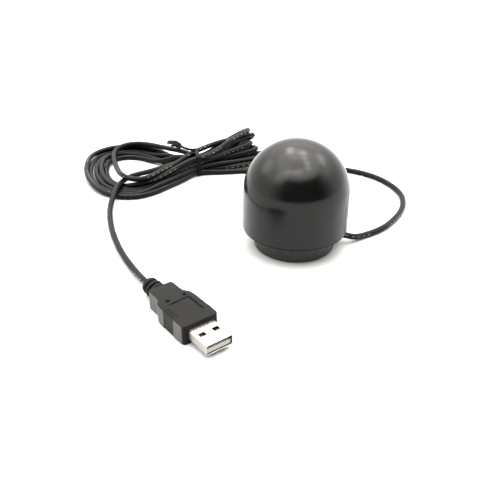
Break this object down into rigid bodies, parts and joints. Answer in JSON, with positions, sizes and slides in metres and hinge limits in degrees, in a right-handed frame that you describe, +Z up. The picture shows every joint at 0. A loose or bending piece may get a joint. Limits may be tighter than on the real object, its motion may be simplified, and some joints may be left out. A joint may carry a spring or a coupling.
{
  "type": "gnss receiver",
  "caption": "Small dome-shaped satellite positioning receiver on a round foot, with its data cable tied in a hank and ending in a USB type A plug.",
  "frame": {"origin": "centre of the foot's underside, on the surface the receiver stands on", "axes": "+Z up along the dome's axis, +X towards the side where the cable leaves the foot"},
  "size_m": [0.1884, 0.2122, 0.0528],
  "materials": {
    "dome_plastic": "satin gloss",
    "base_plastic": "fine matt",
    "pad_rubber": "matt",
    "seal_rubber": "matt",
    "cable_jacket": "satin vinyl",
    "moulded_vinyl": "satin vinyl",
    "tie_vinyl": "satin",
    "tie_nylon": "satin",
    "board_laminate": "solder mask",
    "connector_nylon": "satin",
    "chip_epoxy": "matt moulded",
    "capacitor_ceramic": "satin",
    "antenna_ceramic": "fired ceramic",
    "adhesive_foam": "matt",
    "plug_insulator": "satin",
    "nickel_steel": "nickel plated",
    "tinned_steel": "tinned",
    "zinc_steel": "zinc plated",
    "magnet_ferrite": "sintered",
    "antenna_silver": "fired silver paste",
    "brass": "turned",
    "gold_plate": "plated",
    "wire_red": "satin",
    "wire_white": "satin",
    "wire_green": "satin",
    "wire_black": "satin"
  },
  "bodies": {
    "root": {"dome_cover": "dome_plastic", "base_housing": "base_plastic", "rubber_foot_pad": "pad_rubber", "sealing_ring": "seal_rubber", "mounting_magnet": "magnet_ferrite", "magnet_keeper_plate": "zinc_steel", "case_screw_1": "zinc_steel", "case_screw_2": "zinc_steel", "case_screw_3": "zinc_steel", "cable_grommet": "cable_jacket", "cable_inner_end": "cable_jacket", "strain_tie": "tie_nylon", "wire_red": "wire_red", "wire_white": "wire_white", "wire_green": "wire_green", "wire_black": "wire_black", "wire_plug_housing": "connector_nylon", "wire_header": "connector_nylon", "main_board": "board_laminate", "gnss_module_board": "board_laminate", "gnss_module_can": "tinned_steel", "usb_bridge_chip": "chip_epoxy", "voltage_regulator": "chip_epoxy", "crystal_oscillator": "tinned_steel", "backup_cell": "nickel_steel", "filter_capacitor_1": "capacitor_ceramic", "filter_capacitor_2": "capacitor_ceramic", "filter_capacitor_3": "capacitor_ceramic", "antenna_standoff_1": "brass", "antenna_standoff_2": "brass", "antenna_standoff_3": "brass", "lower_standoff_screw_1": "zinc_steel", "lower_standoff_screw_2": "zinc_steel", "lower_standoff_screw_3": "zinc_steel", "upper_standoff_screw_1": "zinc_steel", "upper_standoff_screw_2": "zinc_steel", "upper_standoff_screw_3": "zinc_steel", "antenna_board": "board_laminate", "antenna_adhesive_pad": "adhesive_foam", "patch_antenna_ceramic": "antenna_ceramic", "antenna_silver_patch": "antenna_silver", "antenna_feed_pin": "gold_plate", "amplifier_can": "tinned_steel", "coax_socket_lower": "brass", "coax_socket_upper": "brass", "coax_plug_lower": "gold_plate", "coax_plug_upper": "gold_plate", "antenna_coax": "cable_jacket", "plug_overmould": "moulded_vinyl", "plug_shell": "nickel_steel", "plug_tongue": "plug_insulator", "plug_contact_1": "gold_plate", "plug_contact_2": "gold_plate", "plug_contact_3": "gold_plate", "plug_contact_4": "gold_plate", "twist_tie": "tie_vinyl", "cable_loop": "cable_jacket", "cable_hank": "cable_jacket", "cable_plug_lead": "cable_jacket"}
  },
  "joints": []
}
